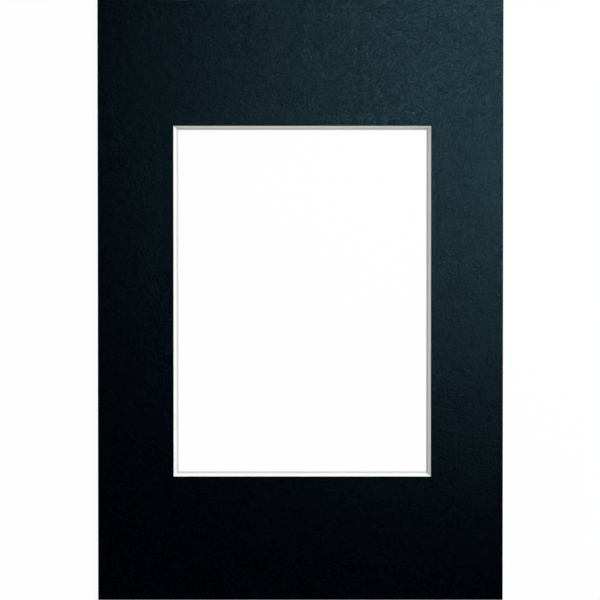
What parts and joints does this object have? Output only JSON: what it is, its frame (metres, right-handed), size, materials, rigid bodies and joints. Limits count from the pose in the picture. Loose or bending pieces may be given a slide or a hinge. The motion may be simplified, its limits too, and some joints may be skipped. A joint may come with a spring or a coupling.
{
  "type": "picture mount",
  "caption": "Upright rectangular picture mount of white-cored board faced in black paper, with a bevelled window that frames a print behind glass.",
  "frame": {"origin": "centre of the back face, on the surface that the mount lies on", "axes": "+X towards the right edge, +Y towards the top edge, +Z out of the face towards the viewer"},
  "size_m": [0.2, 0.3, 0.0016],
  "materials": {
    "core_board": "matte",
    "black_paper": "matte"
  },
  "bodies": {
    "root": {"board_core": "core_board", "facing_paper": "black_paper"}
  },
  "joints": []
}
